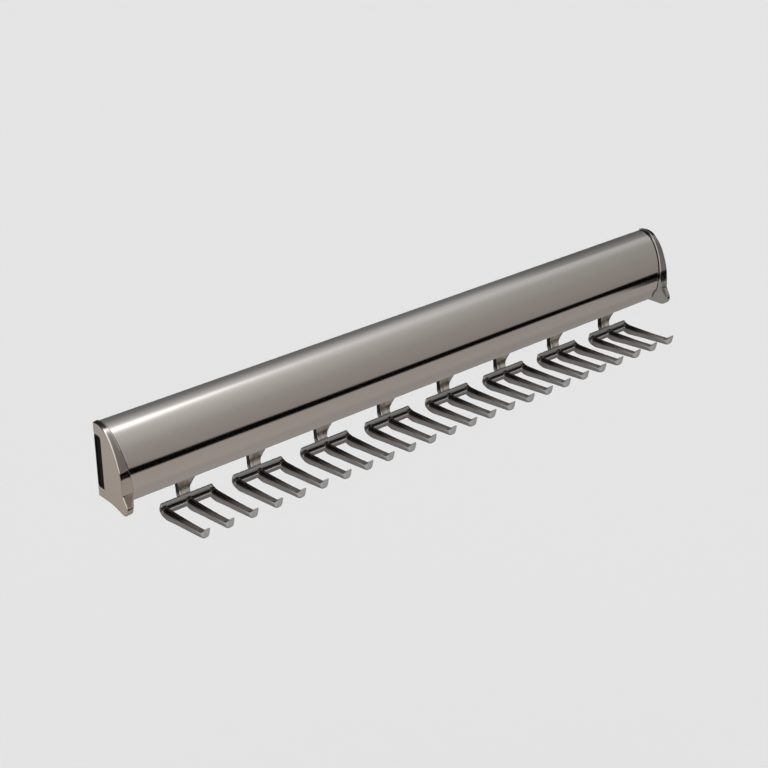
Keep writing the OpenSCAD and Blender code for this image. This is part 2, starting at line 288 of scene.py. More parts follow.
# ------------------------------------------------------------------ studio
def build_world():
    w = bpy.data.worlds.new("studio")
    scene.world = w
    w.use_nodes = True
    t = w.node_tree
    t.nodes.clear()
    g = Net(t)
    tc = g.add("ShaderNodeTexCoord")
    sep = g.add("ShaderNodeSeparateXYZ")
    t.links.new(tc.outputs["Generated"], sep.inputs[0])
    x, y, z = sep.outputs
    u = x
    ny = g.math("MULTIPLY", y, -1.0)
    alpha = g.math("MULTIPLY", g.math("ARCTAN2", z, ny), 180 / math.pi)  # 0 ahead, 90 up, 180 behind, -90 down

    # light tent above and in front of the rack, dimmer towards its ends
    tent = g.curve(alpha, [(-10, .58), (0, .62), (10, .67), (20, .73), (32, .86), (40, .94), (48, 1.03), (57, 1.16),
                           (66, 1.37), (75, 1.52), (81, 1.54), (86, 1.45), (90, 1.35), (98, 1.17), (107, .95), (117, .735),
                           (127, .555), (137, .44), (148, .36), (160, .31), (170, .28), (180, .25)])
    slope = g.math("MULTIPLY_ADD", g.step(alpha, 5, 60), 1.75, 0.3)
    slope = g.math("MULTIPLY_ADD", g.step(alpha, 85, 100), -2.0, slope)
    fall = g.math("SUBTRACT", 1.0, g.math("MULTIPLY", slope, g.math("SUBTRACT", u, 0.575)))
    fall = g.math("MAXIMUM", g.math("MINIMUM", fall, 1.14), 0.7)
    dip = g.math("MULTIPLY", g.step(u, 0.645, 0.69), g.math("MULTIPLY", g.step(alpha, 87, 98), g.step(alpha, 135, 106, 0.62, 1.0)))
    dip = g.math("MULTIPLY_ADD", dip, -0.43, 1.0)
    tent = g.math("MULTIPLY", tent, g.math("MULTIPLY", fall, dip))
    # beyond the tent's ends the room is darker, most of all behind the rack
    near_end = g.step(u, 0.34, 0.45)
    far_end = g.step(u, 0.83, 0.73)
    for end, least in ((near_end, 0.50), (far_end, 0.52)):
        floor_level = g.step(alpha, 84, 92, least, 0.10)
        tent = g.math("MULTIPLY", tent, g.math("ADD", g.math("MULTIPLY", end, g.math("SUBTRACT", 1.0, floor_level)), floor_level))
    # strip light overhead, brightest at the near end
    da = g.math("DIVIDE", g.math("SUBTRACT", alpha, g.curve(u, [(0, 75), (0.457, 75.0), (0.48, 77.0), (0.51, 79.5), (1.0, 80)])),
                g.curve(u, [(0, 10), (0.46, 10), (0.483, 9), (0.513, 8), (1.0, 8)]))
    gauss = g.math("EXPONENT", g.math("MULTIPLY", g.math("MULTIPLY", da, da), -1.0))
    strip = g.math("MULTIPLY", gauss, g.curve(u, [(-0.2, .8), (0.3, 2.0), (0.46, 2.0), (0.483, 1.55), (0.513, .95), (0.549, .3),
                                                  (0.585, .06), (0.62, 0), (1.0, 0)]))
    # side panel on the left of the rack
    side = g.math("MULTIPLY", g.step(u, 0.16, -0.05), g.math("MULTIPLY", g.step(alpha, -4, 4), g.step(alpha, 110, 70)))
    side = g.math("MULTIPLY", side, 1.6)
    upper = g.math("ADD", tent, g.math("ADD", strip, side))
    # pale sweep below
    lower = g.curve(alpha, [(-180, .50), (-150, .64), (-113, .63), (-101, .64), (-85, .69), (-72, .73), (-62, .74), (-53, .735),
                            (-48, .755), (-41, .815), (-30, .80), (-15, .77)])
    lower = g.math("MULTIPLY", lower, g.math("SUBTRACT", 1.0, g.math("MULTIPLY", g.step(u, 0.46, 0.75), g.step(alpha, -30, -80, 0.10, 0.20))))
    # under the rack and behind it the sweep ends: dark, but for a pale card beyond each end
    card = g.math("MULTIPLY", g.math("ADD", g.step(u, -0.25, -0.42), g.step(u, 0.25, 0.42, 0.0, 0.38)), g.step(alpha, -172, -142, 0.45, 0.88))
    behind = g.step(alpha, -122, -104)
    lower = g.math("ADD", g.math("MULTIPLY", lower, behind), g.math("MULTIPLY", g.math("SUBTRACT", 1.0, behind), g.math("MAXIMUM", card, 0.03)))
    # dark gap between the sweep and the tent
    top = g.curve(u, [(0.0, -1.5), (0.43, -2.0), (0.455, -7.0), (0.513, -7.5), (0.549, -8.9), (0.583, -9.45), (0.614, -10.15), (0.642, -10.5),
                      (0.668, -11.0), (0.692, -12.0), (0.72, -12.1), (1.0, -12.3)])
    low = g.curve(u, [(0.0, -17.0), (0.43, -17.2), (0.455, -18.8), (0.513, -19.1), (0.57, -19.7), (0.614, -20.0), (0.668, -20.5), (0.692, -21.0),
                      (0.700, -22.0), (0.708, -23.8), (0.718, -29.8), (0.733, -29.3), (0.745, -26.9), (1.0, -26.8)])
    s_up = g.step(g.math("SUBTRACT", alpha, top), -1.5, 1.5)
    s_low = g.step(g.math("SUBTRACT", alpha, low), 1.3, -1.3)
    is_up = g.math("MULTIPLY", s_up, upper)
    is_low = g.math("MULTIPLY", s_low, lower)
    level = g.math("ADD", g.math("ADD", is_up, is_low), 0.004)
    def blend(fac, first, second):
        nd = g.add("ShaderNodeMix", data_type="RGBA")
        g.put(nd.inputs["Factor"], fac)
        for k, v in (("A", first), ("B", second)):
            if isinstance(v, tuple):
                nd.inputs[k].default_value = (*v, 1)
            else:
                t.links.new(v, nd.inputs[k])
        return nd

    warm = blend(g.step(alpha, 2, 38), (1.0, 0.99, 0.985), (0.948, 1.0, 1.0))
    warm = blend(g.step(alpha, 38, 78), warm.outputs["Result"], (0.942, 1.01, 1.06))
    warm = blend(g.step(u, 0.73, 0.78), warm.outputs["Result"], (0.86, 0.865, 0.86))
    bg = g.add("ShaderNodeBackground")
    t.links.new(warm.outputs["Result"], bg.inputs["Color"])
    t.links.new(level, bg.inputs["Strength"])
    plain = g.add("ShaderNodeBackground")
    plain.inputs["Color"].default_value = (0.788, 0.788, 0.781, 1)
    path = g.add("ShaderNodeLightPath")
    mix = g.add("ShaderNodeMixShader")
    t.links.new(path.outputs["Is Camera Ray"], mix.inputs[0])
    t.links.new(bg.outputs[0], mix.inputs[1])
    t.links.new(plain.outputs[0], mix.inputs[2])
    out = g.add("ShaderNodeOutputWorld")
    t.links.new(mix.outputs[0], out.inputs["Surface"])
    w.cycles.sampling_method = "AUTOMATIC"


# ------------------------------------------------------------------ materials
def coords(g, scale):
    tc = g.add("ShaderNodeTexCoord")
    mp = g.add("ShaderNodeMapping")
    g.t.links.new(tc.outputs["Object"], mp.inputs["Vector"])
    mp.inputs["Scale"].default_value = scale
    return mp.outputs[0]


def noise(g, vec, scale, detail=2.0, rough=0.5):
    nd = g.add("ShaderNodeTexNoise")
    g.t.links.new(vec, nd.inputs["Vector"])
    nd.inputs["Scale"].default_value = scale
    nd.inputs["Detail"].default_value = detail
    nd.inputs["Roughness"].default_value = rough
    return nd.outputs["Fac"]


def finish_material(name, color_a, color_b, metallic, rough, grain, grain_scale, bump, bump_mm,
                    stretch=(1, 1, 1), gradient=None, specular=0.5, speck=None):
    """A material whose colour, roughness and relief vary over the surface. rough is (low, high)."""
    m = bpy.data.materials.new(name)
    m.use_nodes = True
    t = m.node_tree
    t.nodes.clear()
    g = Net(t)
    vec = coords(g, stretch)
    fine = noise(g, vec, grain_scale, 3.0)
    broad = noise(g, coords(g, (1, 1, 1)), grain_scale * 0.04 + 8, 2.0)
    mix = g.add("ShaderNodeMix", data_type="RGBA")
    g.put(mix.inputs["Factor"], g.math("ADD", g.math("MULTIPLY", fine, grain), g.math("MULTIPLY", broad, 1 - grain), clamp=True))
    mix.inputs["A"].default_value = (*color_a, 1)
    mix.inputs["B"].default_value = (*color_b, 1)
    col = mix.outputs["Result"]
    if gradient:
        # the colour is a little darker and warmer towards the bottom of the piece
        z0, z1, low = gradient
        sep = g.add("ShaderNodeSeparateXYZ")
        t.links.new(coords(g, (1, 1, 1)), sep.inputs[0])
        f = g.step(sep.outputs[2], z0 * MM, z1 * MM)
        tint = g.add("ShaderNodeMix", data_type="RGBA", blend_type="MULTIPLY")
        tint.inputs["Factor"].default_value = 1.0
        ramp = g.add("ShaderNodeMix", data_type="RGBA")
        g.put(ramp.inputs["Factor"], f)
        ramp.inputs["A"].default_value = (*low, 1)
        ramp.inputs["B"].default_value = (1, 1, 1, 1)
        t.links.new(col, tint.inputs["A"])
        t.links.new(ramp.outputs["Result"], tint.inputs["B"])
        col = tint.outputs["Result"]
    b = g.add("ShaderNodeBsdfPrincipled")
    t.links.new(col, b.inputs["Base Color"])
    b.inputs["Metallic"].default_value = metallic
    b.inputs["Specular IOR Level"].default_value = specular
    g.put(b.inputs["Roughness"], g.step(fine, 0.3, 0.7, rough[0], rough[1], kind="LINEAR"))
    height = fine
    if speck:
        v2 = noise(g, coords(g, (1, 1, 1)), speck[0], 1.0)
        height = g.math("ADD", g.math("MULTIPLY", v2, speck[1]), fine)
    bp = g.add("ShaderNodeBump")
    bp.inputs["Strength"].default_value = bump
    bp.inputs["Distance"].default_value = bump_mm * MM
    g.put(bp.inputs["Height"], height)
    t.links.new(bp.outputs[0], b.inputs["Normal"])
    out = g.add("ShaderNodeOutputMaterial")
    t.links.new(b.outputs[0], out.inputs["Surface"])
    return m


def hook_finish_and_painted_light():
    """Cast nickel, brownish on the stem, with painted shade where the prongs leave the crossbar, on the crossbar and on
    the stem's sides, and painted highlights on the prong tips and tops, the crossbar, the ledge edge and the stem's
    front.
    """
    m = bpy.data.materials.new("dark_nickel_casting")
    m.use_nodes = True
    t = m.node_tree
    t.nodes.clear()
    g = Net(t)
    vec = coords(g, (1, 1, 1))
    sep = g.add("ShaderNodeSeparateXYZ")
    t.links.new(vec, sep.inputs[0])
    y = g.math("MULTIPLY", sep.outputs[1], 1000.0)
    z = g.math("MULTIPLY", sep.outputs[2], 1000.0)
    fine = noise(g, vec, 900, 3.0)
    broad = noise(g, vec, 240, 2.0)

    def mixed(fac, a, b):
        nd = g.add("ShaderNodeMix", data_type="RGBA")
        g.put(nd.inputs["Factor"], fac)
        for k, v in (("A", a), ("B", b)):
            if isinstance(v, tuple):
                nd.inputs[k].default_value = (*v, 1)
            else:
                t.links.new(v, nd.inputs[k])
        return nd.outputs["Result"]

    col = mixed(broad, (0.176, 0.165, 0.158), (0.148, 0.138, 0.132))
    # painted highlight: the prong tops towards their tips are made lighter
    crown_highlight = g.math("MULTIPLY", g.step(z, -28.8, -28.3), g.step(y, -24, -38))
    col = mixed(g.math("MULTIPLY", crown_highlight, 0.85), col, (0.375, 0.375, 0.375))
    # painted highlight: a lighter band along the middle of the crossbar's rounded top
    at_bar = g.step(y, -15.0, -14.2)
    rod_highlight = g.math("MULTIPLY", g.step(z, -26.75, -27.35), g.step(z, -28.55, -27.95))
    col = mixed(g.math("MULTIPLY", g.math("MULTIPLY", at_bar, rod_highlight), 0.9), col, (0.222, 0.208, 0.197))
    # painted highlight: a light line along the ledge's top front edge
    edge = g.math("MULTIPLY", g.math("MULTIPLY", g.step(z, -30.15, -29.9), g.step(y, -13.55, -13.8)), g.step(y, -14.6, -14.15))
    col = mixed(edge, col, (0.42, 0.40, 0.385))
    # painted shade: a near-black band in the crease between the crossbar's roll and the ledge
    crease_shade = g.math("MULTIPLY", g.step(z, -28.45, -28.9), g.step(z, -30.5, -30.1))
    crease_shade = g.math("MULTIPLY", crease_shade, g.math("MULTIPLY", g.step(y, -13.75, -13.45), g.step(y, -11.9, -12.3)))
    col = mixed(g.math("MULTIPLY", crease_shade, 0.85), col, (0.03, 0.027, 0.024))
    # the units stand at an even pitch, so this is the distance from the middle of each
    x = g.math("FRACT", g.math("MULTIPLY_ADD", sep.outputs[0], 1000.0 / PITCH, 5.0))
    x = g.math("MULTIPLY", g.math("ABSOLUTE", g.math("SUBTRACT", x, 0.5)), PITCH)
    # painted shade: the two ends of each crossbar are darkened
    ends = g.math("MULTIPLY", g.step(x, HOOK_W / 2 - 0.75, HOOK_W / 2 - 0.3), g.math("MULTIPLY", g.step(y, -13.6, -13.2), g.step(z, -29.6, -29.2)))
    col = mixed(g.math("MULTIPLY", ends, 0.8), col, (0.10, 0.096, 0.092))
    # painted shade: the prongs darken towards the crossbar
    heel = g.math("MULTIPLY", g.step(y, -21.0, -15.0), g.step(y, -13.9, -14.5))
    col = mixed(g.math("MULTIPLY", heel, 0.4), col, (0.05, 0.046, 0.042))
    # painted shade: the crossbar's top, under the housing, is darkened
    roof_shade = g.math("MULTIPLY", g.step(y, -14.5, -12.8), g.step(z, -27.15, -26.8))
    col = mixed(g.math("MULTIPLY", roof_shade, 0.7), col, (0.05, 0.045, 0.04))
    # painted shade: a near-black patch on the prong tops where they leave the crossbar
    root_shade = g.math("MULTIPLY", g.math("MULTIPLY", g.step(z, -30.9, -29.3), g.step(y, -28.0, -19.0)), g.step(y, -14.2, -15.4))
    col = mixed(g.math("MULTIPLY", root_shade, 0.72), col, (0.03, 0.026, 0.022))
    # painted highlight: the prong tips are lighter, most of all on their upper part
    tip = mixed(g.step(z, -28.5, -30.0), (0.385, 0.376, 0.368), (0.27, 0.262, 0.254))
    col = mixed(g.step(y, -43.0, -45.0), col, tip)
    on_stem = g.math("MULTIPLY", g.step(z, -27.2, -25.6), g.step(y, -14.5, -13.5))
    stem = mixed(g.step(broad, 0.32, 0.68), (0.30, 0.25, 0.205), (0.14, 0.112, 0.088))
    nrm = g.add("ShaderNodeTexCoord")
    ns = g.add("ShaderNodeSeparateXYZ")
    t.links.new(nrm.outputs["Normal"], ns.inputs[0])
    # painted shade: the stem's sides, facing along the rail, are made near black
    shaded_flank = g.step(g.math("ABSOLUTE", ns.outputs[0]), 0.6, 0.85)
    stem = mixed(shaded_flank, stem, (0.006, 0.005, 0.004))
    # painted highlight on the front of the stem's upper part
    stem = mixed(g.math("MULTIPLY", g.step(z, -22.5, -20.5), g.math("MULTIPLY", g.math("SUBTRACT", 1.0, shaded_flank), 0.3)), stem, (0.46, 0.41, 0.37))
    col = mixed(on_stem, col, stem)
    # painted highlight: a light patch on the front of the stem's foot, just above the crossbar
    low = g.math("MULTIPLY", g.math("MULTIPLY", g.step(z, -26.95, -26.6), g.step(z, -24.9, -25.7)), g.step(x, 3.3, 2.9))
    col = mixed(g.math("MULTIPLY", g.math("MULTIPLY", low, g.step(y, -12.2, -11.7)), g.math("SUBTRACT", 0.9, shaded_flank, clamp=True)), col, (0.46, 0.425, 0.40))
    b = g.add("ShaderNodeBsdfPrincipled")
    t.links.new(col, b.inputs["Base Color"])
    b.inputs["Metallic"].default_value = 1.0
    g.put(b.inputs["Roughness"], g.math("ADD", g.step(fine, 0.3, 0.7, 0.13, 0.20, kind="LINEAR"), g.math("MULTIPLY", on_stem, 0.16)))
    bp = g.add("ShaderNodeBump")
    bp.inputs["Strength"].default_value = 0.25
    bp.inputs["Distance"].default_value = 0.014 * MM
    g.put(bp.inputs["Height"], g.math("MULTIPLY_ADD", broad, g.math("MULTIPLY_ADD", on_stem, 9.0, 1.5), fine))
    t.links.new(bp.outputs[0], b.inputs["Normal"])
    out = g.add("ShaderNodeOutputMaterial")
    t.links.new(b.outputs[0], out.inputs["Surface"])
    return m


MAT = {
    "housing": finish_material("black_nickel_extrusion", (0.368, 0.324, 0.296), (0.358, 0.316, 0.287), 1.0, (0.06, 0.085),
                               0.4, 900, 0.05, 0.004, stretch=(0.02, 1, 1)),
    "cap": finish_material("black_nickel_casting", (0.372, 0.330, 0.298), (0.352, 0.306, 0.270), 1.0, (0.08, 0.13),
                           0.35, 600, 0.10, 0.006, gradient=(-20, 14, (0.93, 0.88, 0.82))),
    "rear_cap": finish_material("black_nickel_casting_rear", (0.355, 0.340, 0.318), (0.330, 0.314, 0.292), 1.0, (0.08, 0.13),
                                0.35, 600, 0.10, 0.006, gradient=(-20, 14, (0.90, 0.90, 0.88))),
    "hook": hook_finish_and_painted_light(),
    "plug": finish_material("black_moulded_plastic", (0.0026, 0.0024, 0.0021), (0.0045, 0.0041, 0.0036), 0.0, (0.42, 0.58),
                            0.6, 2600, 0.25, 0.012, specular=0.06),
    "rail": finish_material("zinc_rolled_steel", (0.60, 0.61, 0.62), (0.50, 0.51, 0.525), 1.0, (0.24, 0.36),
                            0.6, 1400, 0.18, 0.008, stretch=(0.03, 1, 1)),
    "cage": finish_material("zinc_strip", (0.66, 0.655, 0.63), (0.56, 0.55, 0.52), 1.0, (0.26, 0.38),
                            0.6, 1200, 0.15, 0.006, stretch=(0.05, 1, 1)),
    "ball": finish_material("bearing_steel", (0.74, 0.74, 0.75), (0.69, 0.69, 0.70), 1.0, (0.05, 0.09),
                            0.5, 900, 0.05, 0.002),
    "bumper": finish_material("moulded_stop", (0.018, 0.018, 0.018), (0.028, 0.027, 0.026), 0.0, (0.45, 0.62),
                              0.6, 2200, 0.3, 0.02, specular=0.4),
    "screw": finish_material("zinc_screw", (0.58, 0.58, 0.57), (0.47, 0.475, 0.48), 1.0, (0.22, 0.36),
                             0.6, 1500, 0.2, 0.01),
}


def finish_with(ob, mat, body, slot, *nodes):
    ob.data.materials.clear()
    ob.data.materials.append(MAT[mat])
    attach(ob, body)
    if nodes:
        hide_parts(*nodes)
    return ob


# ------------------------------------------------------------------ camera
def build_camera():
    az, el, roll = math.radians(-40.9206), math.radians(25.5488), math.radians(-0.3986)
    back = Vector((math.sin(az) * math.cos(el), -math.cos(az) * math.cos(el), math.sin(el)))
    fwd = -back
    right = fwd.cross(Vector((0, 0, 1))).normalized()
    down = fwd.cross(right)
    c, s = math.cos(roll), math.sin(roll)
    right, down = right * c - down * s, right * s + down * c
    target = Vector((0, -40, -6.2))
    centre = target - (right * 35.2585 + down * -0.3497 + fwd * 826.957)
    cam = bpy.data.cameras.new("camera")
    ob = bpy.data.objects.new("camera", cam)
    scene.collection.objects.link(ob)
    cam.sensor_width = 36
    cam.lens = 1697.57 / 768 * 36
    cam.clip_start, cam.clip_end = 0.05, 60
    rot = Matrix((right, -down, -fwd)).transposed().to_4x4()
    ob.matrix_world = Matrix.Translation(centre * MM) @ rot
    scene.camera = ob


# ------------------------------------------------------------------ housing
HOUSING = [(-0.6, 18.3), (-3.4, 18.6), (-6, 18.2), (-8.4, 17.1), (-10.9, 15.1), (-13.05, 12.65), (-14.95, 9.7),
           (-16.45, 6.6), (-17.65, 3.4), (-18.55, 0), (-19.05, -3.7), (-19.15, -7.8), (-18.75, -11.4), (-17.85, -14.4),
           (-16.3, -16.6), (-13.9, -17.9), (-11.4, -18.38)]


def rim(z):
    return CAP_TOP + CAP_LEAN * (18 - z)


def build_housing():
    outer = smooth_path(HOUSING, 132)
    rest = rounded([(-11.4, -18.38), (-11.4, -17.0), (-13.6, -17.0), (-13.6, -15.0), (-6.0, -15.0), (-6.0, -17.0),
                    (-8.2, -17.0), (-8.2, -18.4), (-0.6, -18.4), (-0.6, -13.2), (-8.8, -13.2), (-8.8, 13.2), (-0.6, 13.2), (-0.6, 18.3)],
                   [0, 0.25, 0.25, 0.25, 0.25, 0.25, 0.25, 0.35, 0.4, 0.35, 0.4, 0.4, 0.35, 0], 3)
    loop = np.vstack([outer[:-1], rest[:-1]])
    skin_in = outer - 1.3 * outward(np.vstack([outer, [[-0.6, -18.4]]]))[:-1]
    hollow = [(-1.8, 14.4), (-9.0, 14.4), (-10, 13.2), (-10, -14), (-14.8, -14)]
    tail = [tuple(q) for q in skin_in[::-1] if q[0] < -1.8 and (q[1] > 0 or (q[0] < -14.8 and q[1] > -15.5))]
    hollow = np.array(hollow + tail)
    keep = [0]
    for i in range(1, len(hollow)):
        if np.linalg.norm(hollow[i] - hollow[keep[-1]]) > 0.15:
            keep.append(i)
    hollow = hollow[keep]
    n_out = outward(loop)

    def ends(pts, d, sign):
        extra = SEAM_GAP + (REAR_EXTRA if sign > 0 else 0)
        return [(sign * (HALF - rim(z) - extra - d), y, z) for y, z in pts]

    steps = [(0.0, 0.15), (0.04, 0.07), (0.09, 0.02), (0.16, 0.0)]
    rings = [ends(loop - n_out * i, d, -1) for d, i in steps] + [ends(loop - n_out * i, d, 1) for d, i in steps[::-1]]
    ob = tidy(make_object("housing_shell", *loft(rings)))
    boolean(ob, prism_x("cut", hollow, -HALF - 2, HALF + 2), "DIFFERENCE")
    for x, z, r in [(-140, 0, 1.5), (0, 0, 1.5), (140, 0, 1.5), (-169, 3.8, 1.5), (-169, -3.8, 1.5), (169, 3.8, 1.5), (169, -3.8, 1.5)]:
        boolean(ob, rod_y("cut", x, z, -8.0, -11.0, r), "DIFFERENCE")
    tidy(ob)
    weighted(ob)
    return finish_with(ob, "housing", "carriage", "housing", "housing_profile")


# ------------------------------------------------------------------ end caps
# pairs of points: the outline of the outer face and that of the seam side
CAP = [((-0.6, 18.55), (-0.6, 18.8)), ((-3.4, 18.9), (-3.4, 19.2)), ((-6.1, 18.58), (-6.15, 18.9)),
       ((-8.55, 17.6), (-8.7, 17.9)), ((-10.95, 15.6), (-11.2, 15.85)), ((-13.15, 13.0), (-13.45, 13.2)),
       ((-15.0, 10.0), (-15.35, 10.15)), ((-16.53, 6.7), (-16.95, 6.85)), ((-17.8, 3.4), (-18.25, 3.5)),
       ((-19.0, 0.4), (-19.2, 0.4)), ((-19.52, -2.2), (-19.68, -2.2)), ((-19.75, -4.2), (-19.9, -4.2)),
       ((-19.95, -6.4), (-20.08, -6.4)), ((-20.07, -8.3), (-20.17, -8.3)), ((-20.13, -9.6), (-20.23, -9.6)),
       ((-20.17, -10.3), (-20.27, -10.3)), ((-20.31, -10.9), (-20.38, -10.9)), ((-20.85, -11.8), (-20.85, -11.8)),
       ((-21.6, -12.95), (-21.45, -12.95)), ((-22.35, -14.1), (-22.05, -14.1)), ((-22.85, -15.0), (-22.5, -15.0)),
       ((-23.2, -15.9), (-22.8, -15.9)), ((-23.3, -17.3), (-22.9, -17.3)),
       ((-22.8, -18.75), (-22.15, -18.7)), ((-21.6, -19.75), (-21.1, -19.6)), ((-19.85, -20.2), (-19.6, -20.0)),
       ((-16.6, -19.45), (-16.5, -19.3)), ((-12.6, -18.6), (-12.6, -18.5)), ((-8.5, -18.15), (-8.5, -18.15)),
       ((-0.6, -18.05), (-0.6, -18.1))]
LIP = [(6, -19.6, -8), (7, -12.6, -18.35), (2.4, -23.5, -17.2)]


def build_cap(name, slot_d, extra, sign, node):
    s = catmull([p[1] for p in CAP], 6)
    if sign < 0:
        o = catmull([p[0] for p in CAP], 6)
    else:
        # this one leans a little the other way
        o = s + outward(s) * np.interp(s[:, 1], [-10, -2, 12, 16], [0.3, 0.18, 0.1, -0.2])[:, None]
        s = s + outward(s) * 0.4
        for q in (o, s):
            q[:, 0] = np.minimum(q[:, 0], -0.6)
            q[:, 1] = np.minimum(q[:, 1], 19.2)
            q[0, 0] = q[-1, 0] = -0.6
    rear = np.linspace(0, 1, 9)[1:-1]
    o = np.vstack([o, o[-1] + (o[0] - o[-1]) * rear[:, None]])
    s = np.vstack([s, s[-1] + (s[0] - s[-1]) * rear[:, None]])
    no, ns = outward(o), outward(s)
    # the rear edge stays on the wall-side plane
    for nn in (no, ns):
        nn[:, 0] = np.where(np.abs(o[:, 0] + 0.6) < 1e-6, 0, nn[:, 0])

    def depth(t):
        """Distance from the outer face at share t of the way to the seam, for each point."""
        more = 0.03 if sign < 0 else 0.0
        return np.array([t * (rim(z) + extra + more * max(0.0, -z)) for z in (o[:, 1] * (1 - t) + s[:, 1] * t)])

    r, e = (0.5 if sign < 0 else 0.3), 0.22
    rings = []
    for a in (0, 15, 32, 50, 70, 90):
        q = math.radians(a)
        p = o - no * r * (1 - math.sin(q))
        rings.append([(-HALF + r * (1 - math.cos(q)), y, z) for y, z in p])
    for t in (0.25, 0.5, 0.75):
        p = o * (1 - t) + s * t
        d = depth(t)
        rings.append([(-HALF + max(di, r * 1.2), y, z) for (y, z), di in zip(p, d)])
    d = depth(1.0)
    for a in (0, 30, 60, 90):
        q = math.radians(a)
        p = s - ns * e * (1 - math.cos(q))
        rings.append([(-HALF + di - e * (1 - math.sin(q)), y, z) for (y, z), di in zip(p, d)])
    cap = make_object(name, *loft(rings))
    tidy(cap)
    # inner facet of the lip
    shift = 0.6 if sign < 0 else -0.4
    a, b, c = (Vector(p) + Vector((-HALF + shift, 0, 0)) for p in LIP)
    nrm = (b - a).cross(c - a).normalized()
    if nrm.x < 0:
        nrm = -nrm
    wedge = make_object("cut", [tuple(Vector(v) * 60) for v in
                                ((0, -1, -1), (0, 1, -1), (0, 1, 1), (0, -1, 1), (1, -1, -1), (1, 1, -1), (1, 1, 1), (1, -1, 1))],
                        [(0, 1, 2, 3), (4, 7, 6, 5), (0, 4, 5, 1), (1, 5, 6, 2), (2, 6, 7, 3), (3, 7, 4, 0)])
    wedge.matrix_world = Matrix.Translation(a * MM) @ nrm.to_track_quat("X", "Z").to_matrix().to_4x4()
    tidy(wedge)
    boolean(cap, wedge, "DIFFERENCE")
    # soft edge round that facet
    bm = bmesh.new()
    bm.from_mesh(cap.data)
    bmesh.ops.remove_doubles(bm, verts=bm.verts, dist=0.004 * MM)
    bm.normal_update()
    edges = []
    for ed in bm.edges:
        if len(ed.link_faces) == 2:
            f, h = ed.link_faces
            on = [abs(q.normal.dot(nrm)) > 0.999 and abs((q.calc_center_median() / MM - a).dot(nrm)) < 0.02 for q in (f, h)]
            if on[0] != on[1] and ed.calc_face_angle(0) > math.radians(14) and ed.verts[0].co.z < -0.0075:
                edges.append(ed)
    if edges:
        bmesh.ops.bevel(bm, geom=edges, offset=0.35 * MM, segments=3, profile=0.5, affect="EDGES", clamp_overlap=True)
    bm.to_mesh(cap.data)
    bm.free()
    tidy(cap)
    spigot = rounded_box("add", (-HALF + 2, -14, -9.5), (-HALF + 16, -10.15, 7.0), 0.3, 2)
    boolean(cap, spigot, "UNION")
    slot = rounded([(-slot_d, -13), (4, -13), (4, 13.1), (-slot_d, 13.1)], [0.25, 0, 0, 1.4], 5)
    boolean(cap, prism_x("cut", slot, -HALF - 2, -HALF + 20), "DIFFERENCE")
    for z in (3.8, -3.8):
        boolean(cap, rod_y("cut", -169, z, -9.0, -13.5, 1.3), "DIFFERENCE")
    # shallow finger recess in the front of the lip, deepest at the outer side
    skin = Vector((-0.1, -0.918, 0.385)).normalized()
    rim4 = [Vector(q) for q in ((-179.62, -20.4, -10.75), (-174.75, -20.6, -11.15), (-177.1, -22.75, -15.3), (-179.15, -22.65, -15.1))]
    deep = (0.7, 0.14, 0.42, 0.6)
    pocket = make_object("cut", [tuple(q + skin * 3) for q in rim4] + [tuple(q - skin * d) for q, d in zip(rim4, deep)],
                         [(0, 1, 2, 3), (7, 6, 5), (7, 5, 4), (0, 4, 5, 1), (1, 5, 6, 2), (2, 6, 7, 3), (3, 7, 4, 0)])
    tidy(pocket)
    boolean(cap, pocket, "DIFFERENCE")
    if sign > 0:
        for v in cap.data.vertices:
            v.co.x = -v.co.x
        cap.data.flip_normals()
    tidy(cap, 30)
    weighted(cap)
    return finish_with(cap, "cap" if sign < 0 else "rear_cap", "carriage", "cap", node)


def build_plug():
    face = rounded([(-5.6, -12.85), (-0.6, -12.85), (-0.6, 12.9), (-5.6, 12.9)], [0.5, 0.5, 0.5, 1.35], 5)
    n = outward(face)
    n[:, 0] = np.where(n[:, 0] > 0, 0, n[:, 0])
    rings = [[(x, y, z) for y, z in face - n * i] for x, i in ((-HALF + 0.05, 0.16), (-HALF + 0.08, 0.07), (-HALF + 0.15, 0.02),
                                                                (-HALF + 0.22, 0), (-HALF + 7.6, 0))]
    ob = make_object("slot_plug", *loft(rings))
    tidy(ob)
    # shallow moulded pan in its face
    pan = rounded([(-4.6, -11.6), (-1.5, -11.6), (-1.5, 11.7), (-4.6, 11.7)], [0.4, 0.4, 0.4, 0.9], 4)
    boolean(ob, prism_x("cut", pan, -HALF - 1, -HALF + 0.42), "DIFFERENCE")
    back = rounded_box("add", (-HALF + 7, -8.6, -12.9), (-HALF + 8.4, -0.6, 12.9), 0.25, 2)
    boolean(ob, back, "UNION")
    tidy(ob)
    weighted(ob)
    return finish_with(ob, "plug", "carriage", "plug", "front_slot_plug")


